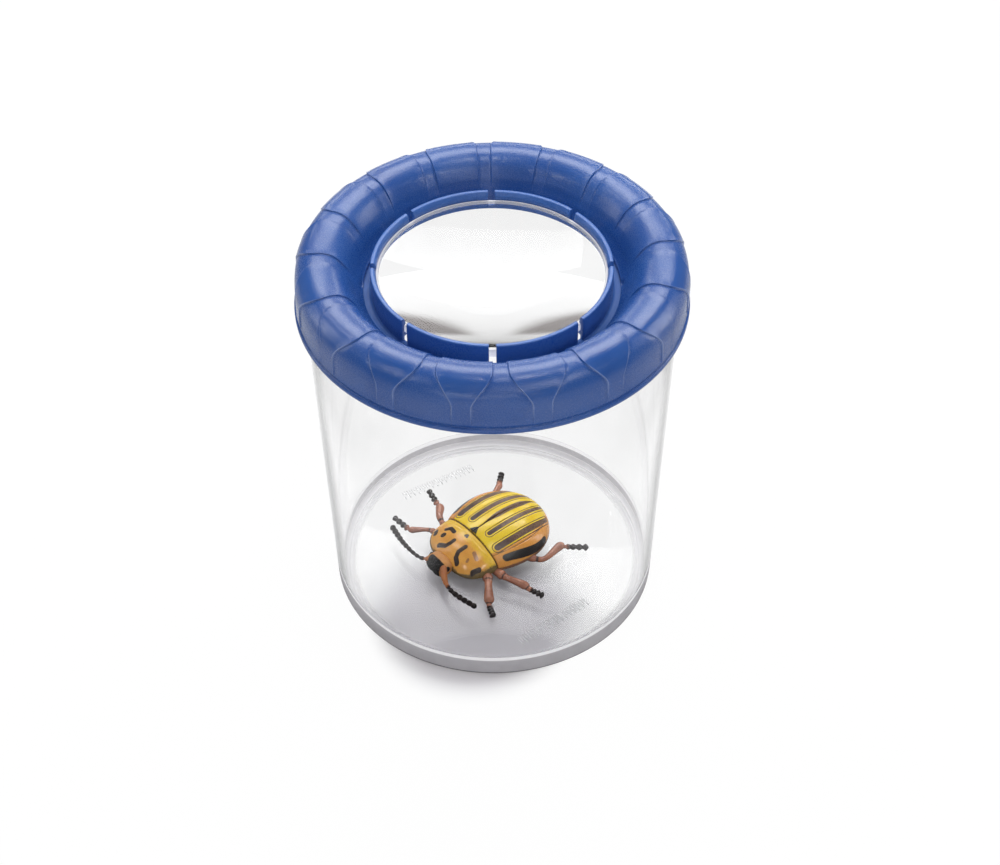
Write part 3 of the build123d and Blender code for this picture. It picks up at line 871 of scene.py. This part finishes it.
flange = divided(rounded([
    (collar_inner_radius, flange_bottom + 0.8, 0.0), (collar_inner_radius, flange_bottom, 0.3),
    (flange_radius, flange_bottom, 0.3), (flange_radius, lip_bottom - 0.02, 0.2),
    (collar_radius + 0.5, lip_bottom - 0.02, 0.4), (collar_radius, slot_bottom, 0.3),
    (collar_inner_radius, slot_bottom, 0.2), (collar_inner_radius, flange_bottom + 0.8, 0.0),
]), 1.5)
finger_outside = rounded([(collar_radius, slot_bottom - 0.1, 0.0), (collar_radius, collar_top, 0.55),
                          (collar_inner_radius + 0.7, collar_top, 0.0)])
finger_inside = rounded([
    (collar_inner_radius, slot_bottom - 0.1, 0.0), (collar_inner_radius, seat_bottom, 0.1),
    (seat_radius, seat_bottom + 0.3, 0.2), (seat_radius, seat_top - 0.02, 0.15),
    (collar_inner_radius, seat_top - 0.02, 0.1), (collar_inner_radius, hook_bottom, 0.1),
    (hook_radius, hook_bottom + 0.15, 0.2), (hook_radius, hook_top - 0.4, 0.3),
    (collar_inner_radius, collar_top, 0.45), (collar_inner_radius + 0.7, collar_top, 0.0)])
finger_rows = np.linspace(0, 1, 70)


def by_share(line):
    """A line resampled at the finger's rows, evenly along its length."""
    run = np.concatenate([[0], np.cumsum(np.hypot(*np.diff(line, axis=0).T))])
    return np.stack([np.interp(finger_rows * run[-1], run, place) for place in line.T], 1)


def finger(number):
    """One spring finger: its section, up the outside and down the inside, carried round the collar between
    two slots. The section shrinks a little at both ends to ease the edges, then folds on to its own middle
    line to close them."""
    outside, inside = by_share(finger_outside), by_share(finger_inside)
    section = np.concatenate([outside, inside[::-1]])
    spine = np.concatenate([(outside + inside) / 2, ((outside + inside) / 2)[::-1]])
    gap = slot_width / 2 / collar_radius
    from_angle = -np.pi / 2 + number * 2 * np.pi / fingers + gap
    to_angle = from_angle + 2 * np.pi / fingers - 2 * gap
    ease = 0.2 / collar_radius
    angle = np.concatenate([[from_angle, from_angle, from_angle + ease / 3],
                            np.linspace(from_angle + ease, to_angle - ease, finger_columns),
                            [to_angle - ease / 3, to_angle, to_angle]])
    close = np.concatenate([[1.0, 0.22, 0.07], np.zeros(finger_columns), [0.07, 0.22, 1.0]])
    flat = section[None] + (spine - section)[None] * close[:, None, None]
    angle = angle[:, None]
    return around(np.stack([flat[..., 0] * np.cos(angle), flat[..., 0] * np.sin(angle), flat[..., 1]], -1))


rings = [turned(flange, 256)] + [finger(number) for number in range(fingers)]
carrier = mesh_piece("lid_finger_collar", "lid", "blue_lid", ["lens_carrier"], rings,
                     matt=[np.full(ring.shape[:2], float(ring is rings[0])) for ring in rings])
# Painted light: the collar takes a lighter blue than the ring to make up for the light it lacks down in the
# ring's well.
carrier.data.materials.append(satin_blue("satin_blue_collar_lightened", (48, 90, 160), (56, 100, 172), 0.26, 0.36))

# Lens
# A round magnifier moulded in clear acrylic, domed on both faces. Its edge is left matt and sits on the
# carrier's ledge under the hooks.
lens_radius = 38.4
lens_bottom = 133.4
lens_top = 136.4
dome_radius = 37.4
dome_rise = 3.0


def dome(base, rise, steps=80):
    """Half of a lens face: a circular arc through the dome's edge and its top, from the edge to the axis."""
    sphere = (dome_radius**2 + rise**2) / (2 * abs(rise))
    out = np.linspace(dome_radius, 0, steps)
    return np.stack([out, base + np.sign(rise) * (np.sqrt(sphere**2 - out**2) - sphere + abs(rise))], axis=1)


lens_edge = divided(rounded([(dome_radius, lens_bottom, 0.0), (lens_radius, lens_bottom, 0.25),
                             (lens_radius, lens_top, 0.25), (dome_radius, lens_top, 0.0)]), 0.5)
lens_profile = np.concatenate([dome(lens_bottom, -dome_rise)[:0:-1], lens_edge,
                               dome(lens_top, dome_rise)[1:]])
grid = turned(lens_profile, 320)
ground = (np.hypot(grid[..., 0], grid[..., 1]) > dome_radius + 0.2) * 1.0
lens = mesh_piece("lid_magnifier", "lid", "clear_lens", ["lens"], [grid],
                  frost=[0.9 * ground], corner=[ground])
lens.data.materials.append(clear_plastic("clear_lens_acrylic", 1.49, 0.995, 0.8, 0.0, 0.0, 3.0, 0.1))

# Floor and surroundings
# A white sweep that shows as white to the eye and takes part of the object's shadow. It carries a painted
# grey shadow under the jar's front, a dark card seen only in reflections, which paints them dark, and two
# grey wings seen only through clear plastic, a painted shadow of the lid's ring behind the jar.
floor_size = 3.0
floor_glow = (0.02, 0.97)  # at the jar's front, and out on the open sweep
glow_middle = (-0.008, -0.033, 0.0)
glow_edges = (0.026, 0.040)  # in the open
inside_edges = (0.028, 0.052)  # seen through the jar
floor_shades = ((238, 238, 238), (242, 242, 242))
front_shade = (224, 221, 224)
card_sides, card_front, card_back = (0.045, 0.06), (-0.19, -0.17), (0.0, 0.02)
far_sides = (0.11, 0.14)
wing_inner, wing_outer, wing_front, wing_back = (0.002, 0.008), (0.03, 0.05), (0.2, 0.24), (0.3, 0.36)
wing_shade = (0.3, 0.275, 0.27, 1.0)
span = np.linspace(-floor_size / 2, floor_size / 2, 3)
x, y = np.meshgrid(span, span)
floor_mesh = bpy.data.meshes.new("floor")
floor_mesh.from_pydata(np.stack([x.ravel(), y.ravel(), 0 * x.ravel() - 0.0002], 1).tolist(), [],
                       [(0, 1, 4, 3), (1, 2, 5, 4), (3, 4, 7, 6), (4, 5, 8, 7)])
floor = bpy.data.objects.new("floor", floor_mesh)
bpy.context.scene.collection.objects.link(floor)
sweep = Finish("white_sweep", Roughness=0.9, Specular_IOR_Level=0.1)
rays = sweep.add("ShaderNodeLightPath").outputs
mirrored = sweep.sum("MINIMUM", rays["Glossy Depth"], 1.0)
white = sweep.mix(sweep.noise(6.0), colour(*floor_shades[0]), colour(*floor_shades[1]))
spot = sweep.add("ShaderNodeSeparateXYZ", {"Vector": sweep.place}).outputs
across = sweep.sum("ABSOLUTE", spot["X"])


def eased(value, edges, *ends):
    """The sweep's ramp between two edges, with soft ends."""
    return sweep.ramp(value, *edges, *(ends or (0.0, 1.0)), "SMOOTHSTEP")


# Painted reflection: a dark card that only mirrored rays see, darkening what glossy surfaces reflect from the
# floor.
card = sweep.sum("MULTIPLY", eased(across, card_sides, 1.0, 0.0), eased(spot["Y"], card_front))
card = sweep.sum("MULTIPLY", card, eased(spot["Y"], card_back, 1.0, 0.0))
card = sweep.sum("MULTIPLY", mirrored, sweep.sum("MAXIMUM", card, eased(across, far_sides, 0.0, 0.5)))
away = sweep.add("ShaderNodeVectorMath", {0: sweep.place, 1: glow_middle}, operation="DISTANCE")
away = away.outputs["Value"]
# Painted shadow: the floor turns grey under the jar's front.
white = sweep.mix(eased(away, glow_edges), colour(*front_shade), white)
sweep.link(sweep.mix(card, white, grey(0.12)), sweep.shader.inputs["Base Color"])
# Painted shadow of the lid's ring, seen only through clear plastic.
ring_shadow_wings = sweep.sum("MULTIPLY", eased(across, wing_inner), eased(across, wing_outer, 1.0, 0.0))
depth = sweep.sum("MULTIPLY", eased(spot["Y"], wing_front), eased(spot["Y"], wing_back, 1.0, 0.0))
ring_shadow_wings = sweep.sum("MULTIPLY", sweep.sum("MULTIPLY", ring_shadow_wings, depth), rays["Is Transmission Ray"])
glow = sweep.add("ShaderNodeEmission", {"Color": sweep.mix(ring_shadow_wings, grey(1.0), wing_shade), "Strength": 1.0})
open_floor = sweep.sum("MULTIPLY", rays["Is Camera Ray"], eased(away, glow_edges, *floor_glow))
through_jar = sweep.sum("MULTIPLY", rays["Is Transmission Ray"], eased(away, inside_edges, *floor_glow))
open_floor = sweep.sum("MAXIMUM", open_floor, through_jar)
open_floor = sweep.sum("MULTIPLY", open_floor, sweep.sum("SUBTRACT", 1.0, card))
mixed = sweep.add("ShaderNodeMixShader", {0: open_floor, 1: sweep.shader.outputs[0], 2: glow.outputs[0]})
sweep.link(mixed.outputs[0], sweep.output.inputs["Surface"])
floor_mesh.materials.append(sweep.material)

world = bpy.data.worlds.new("studio")
world.use_nodes = True
bpy.context.scene.world = world
tree = world.node_tree
tree.nodes.clear()
rays = tree.nodes.new("ShaderNodeLightPath").outputs


def world_sum(operation, *terms):
    """One number for the world, worked out from sockets and plain numbers and kept between 0 and 1."""
    node = tree.nodes.new("ShaderNodeMath")
    node.operation, node.use_clamp = operation, True
    for socket, term in zip(node.inputs, terms):
        if isinstance(term, bpy.types.NodeSocket):
            tree.links.new(term, socket)
        else:
            socket.default_value = term
    return node.outputs[0]


deep = world_sum("GREATER_THAN", rays["Transmission Depth"], 3.5)
inner = world_sum("MULTIPLY", deep, rays["Glossy Depth"])
seen = world_sum("MAXIMUM", rays["Is Camera Ray"], rays["Is Transmission Ray"])
strength = tree.nodes.new("ShaderNodeMapRange")
strength.inputs["To Min"].default_value = 0.2
strength.inputs["To Max"].default_value = 1.0
tree.links.new(world_sum("SUBTRACT", seen, inner), strength.inputs["Value"])
sky = tree.nodes.new("ShaderNodeBackground")
sky.inputs["Color"].default_value = (1.0, 1.0, 1.0, 1.0)
tree.links.new(strength.outputs["Result"], sky.inputs["Strength"])
tree.links.new(sky.outputs[0], tree.nodes.new("ShaderNodeOutputWorld").inputs["Surface"])

# Studio lights
# A large softbox above and behind and a tall one low on each side. Four small ones above pick out the petals,
# two wide ones fill the front from above and from low down, and a long thin one stands low behind.
lid_middle = np.array([0.0, 0.0, 0.1])
softboxes = [  # direction, distance, width, height, watts
    ((0.05, 0.58, 0.81), 0.8, 0.84, 0.34, 6.2),
    ((-0.93, 0.19, 0.30), 0.7, 0.14, 0.5, 0.9),
    ((0.93, 0.19, 0.30), 0.7, 0.14, 0.5, 1.3),
    ((0.10, -0.12, 1.00), 0.7, 0.10, 0.10, 0.8),
    ((0.53, -0.55, 0.65), 0.8, 0.09, 0.09, 0.6),
    ((-0.6, -0.48, 0.65), 0.8, 0.08, 0.08, 0.5),
    ((-0.57, 0.28, 0.77), 0.8, 0.12, 0.12, 0.5),
    ((0.20, -0.75, 0.62), 0.9, 0.50, 0.40, 1.0),
    ((-0.1, -0.97, 0.16), 0.7, 0.6, 0.14, 0.7),
    ((0.0, 0.97, 0.25), 0.8, 0.9, 0.08, 1.4),
]
for number, (direction, distance, width, tall, watts) in enumerate(softboxes):
    lamp = bpy.data.lights.new(f"softbox_{number}", "AREA")
    lamp.shape = "RECTANGLE"
    lamp.size, lamp.size_y, lamp.energy = width, tall, watts
    place = np.array(direction) / np.linalg.norm(direction) * distance
    box = bpy.data.objects.new(lamp.name, lamp)
    box.rotation_mode = "QUATERNION"
    box.rotation_quaternion = Vector(-place).to_track_quat("-Z", "Y")
    box.location = (lid_middle + place).tolist()
    bpy.context.scene.collection.objects.link(box)

# Camera
# A short telephoto looking down at the lid, a little below half a right angle.
camera = bpy.data.cameras.new("camera")
camera.lens, camera.sensor_width = 79.2, 36.0
viewpoint = bpy.data.objects.new("camera", camera)
tilt, pan, spin = np.radians([45.852, -0.244, -0.312])
look = Euler((tilt, 0.0, pan)).to_matrix() @ Matrix.Rotation(spin, 3, "Z")
viewpoint.matrix_world = Matrix.Translation((0.0, -0.5576, 0.6039)) @ look.to_4x4()
bpy.context.scene.collection.objects.link(viewpoint)
bpy.context.scene.camera = viewpoint
bpy.context.scene.view_settings.view_transform = "Standard"
